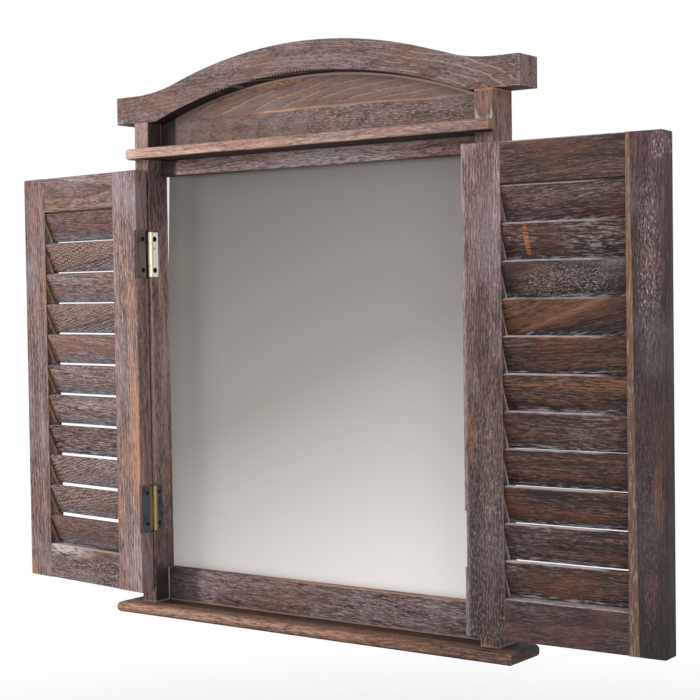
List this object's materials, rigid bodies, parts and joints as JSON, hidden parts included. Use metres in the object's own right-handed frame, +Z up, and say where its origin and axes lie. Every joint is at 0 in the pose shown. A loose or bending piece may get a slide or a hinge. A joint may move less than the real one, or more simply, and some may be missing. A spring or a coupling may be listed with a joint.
{
  "type": "shutter mirror",
  "caption": "Wall mirror in a timber frame with an arched cap, a ledge and a shelf, and louvred shutters on butt hinges that close over the glass and fold back past the posts.",
  "frame": {"origin": "on the wall plane, midway between the centres of the holes by which it hangs", "axes": "+X to the viewer's right, -Y out of the mirror towards the viewer, +Y into the wall, +Z up"},
  "size_m": [0.6728, 0.0482, 0.4975],
  "materials": {
    "weathered_wood": "weathered grey-brown, worn to orange-brown on the edges",
    "slat_wood": "weathered dark grey-brown",
    "ledge_wood": "weathered, pale where it catches the light",
    "dowel_wood": "plain beech",
    "board": "hardboard",
    "mirror": "polished",
    "steel": "zinc plated",
    "hinge_metal": "tarnished brass, nickel-grey in places",
    "screw_metal": "tarnished"
  },
  "bodies": {
    "frame": {"post_left": "weathered_wood", "post_right": "weathered_wood", "cap": "weathered_wood", "header_panel": "weathered_wood", "ledge": "ledge_wood", "mirror_rail": "slat_wood", "bottom_rail": "slat_wood", "shelf": "weathered_wood", "mirror_glass": "mirror", "back_board": "board", "back_tabs": "steel", "cap_dowels": "dowel_wood", "ledge_screws": "steel", "shelf_screws": "steel", "hanging_plates": "steel", "hanging_plate_screws": "steel", "hinge_pins": "hinge_metal", "post_leaf_screws": "screw_metal", "left_lower_post_leaf": "hinge_metal", "left_upper_post_leaf": "hinge_metal", "right_lower_post_leaf": "hinge_metal", "right_upper_post_leaf": "hinge_metal"},
    "left_shutter": {"left_hinge_stile": "weathered_wood", "left_outer_stile": "weathered_wood", "left_top_rail": "weathered_wood", "left_bottom_rail": "weathered_wood", "left_lower_leaf": "hinge_metal", "left_upper_leaf": "hinge_metal", "left_leaf_screws": "screw_metal", "left_slat_01": "slat_wood", "left_slat_02": "slat_wood", "left_slat_03": "slat_wood", "left_slat_04": "slat_wood", "left_slat_05": "slat_wood", "left_slat_06": "slat_wood", "left_slat_07": "slat_wood", "left_slat_08": "slat_wood", "left_slat_09": "slat_wood", "left_slat_10": "slat_wood", "left_slat_11": "slat_wood"},
    "right_shutter": {"right_hinge_stile": "weathered_wood", "right_outer_stile": "weathered_wood", "right_top_rail": "weathered_wood", "right_bottom_rail": "weathered_wood", "right_lower_leaf": "hinge_metal", "right_upper_leaf": "hinge_metal", "right_leaf_screws": "screw_metal", "right_slat_01": "slat_wood", "right_slat_02": "slat_wood", "right_slat_03": "slat_wood", "right_slat_04": "slat_wood", "right_slat_05": "slat_wood", "right_slat_06": "slat_wood", "right_slat_07": "slat_wood", "right_slat_08": "slat_wood", "right_slat_09": "slat_wood", "right_slat_10": "slat_wood", "right_slat_11": "slat_wood"}
  },
  "joints": [
    {"name": "left_shutter_hinge", "type": "hinge", "parent": "frame", "child": "left_shutter", "pos_m": [-0.1685, -0.0316, -0.204], "axis": [0, 0, 1], "range_deg": [-1, 187.5]},
    {"name": "right_shutter_hinge", "type": "hinge", "parent": "frame", "child": "right_shutter", "pos_m": [0.1685, -0.0316, -0.204], "axis": [0, 0, -1], "range_deg": [-7.5, 181]}
  ]
}
